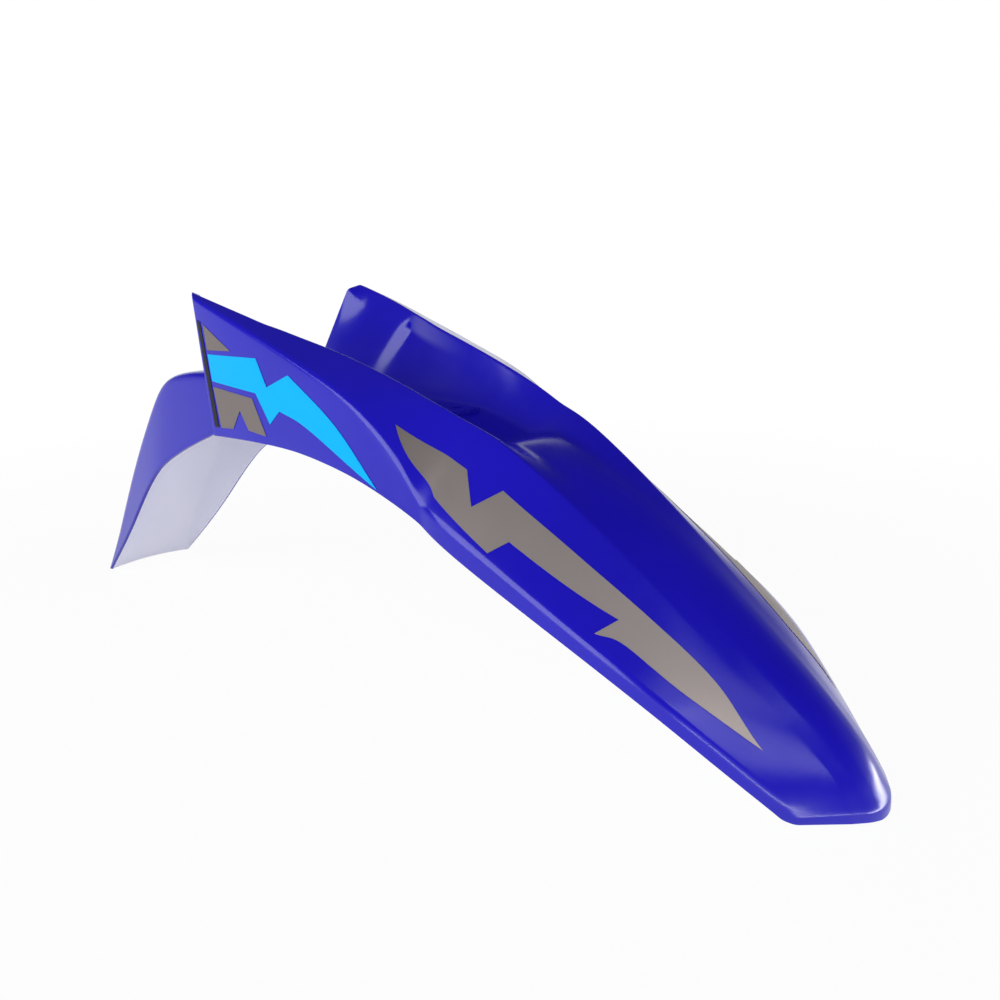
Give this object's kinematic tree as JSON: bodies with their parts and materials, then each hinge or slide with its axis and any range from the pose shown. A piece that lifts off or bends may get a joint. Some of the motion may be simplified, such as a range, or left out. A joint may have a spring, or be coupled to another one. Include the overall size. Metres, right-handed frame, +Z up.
{
  "type": "motorcycle mudguard",
  "caption": "Front mudguard of an off-road motorcycle: a long moulded blade with raised rear wings, a trough with a bolted clamp seat between them and a bent tail flap.",
  "frame": {"origin": "Middle of the clamp seat's upper face, between the four bolt holes.", "axes": "+X runs forward to the nose, +Y to the rider's left, +Z up along the clamp bolts."},
  "size_m": [0.743, 0.1938, 0.2751],
  "materials": {
    "blue_plastic": "gloss moulded blue",
    "grey_vinyl": "satin metallic grey film",
    "cyan_vinyl": "satin cyan film",
    "black_vinyl": "satin black film"
  },
  "bodies": {
    "root": {"mudguard": "blue_plastic", "blade_flashes": "grey_vinyl", "wing_flashes": "cyan_vinyl", "wing_peaks": "grey_vinyl", "wing_fields": "grey_vinyl", "wing_slivers": "black_vinyl"}
  },
  "joints": []
}
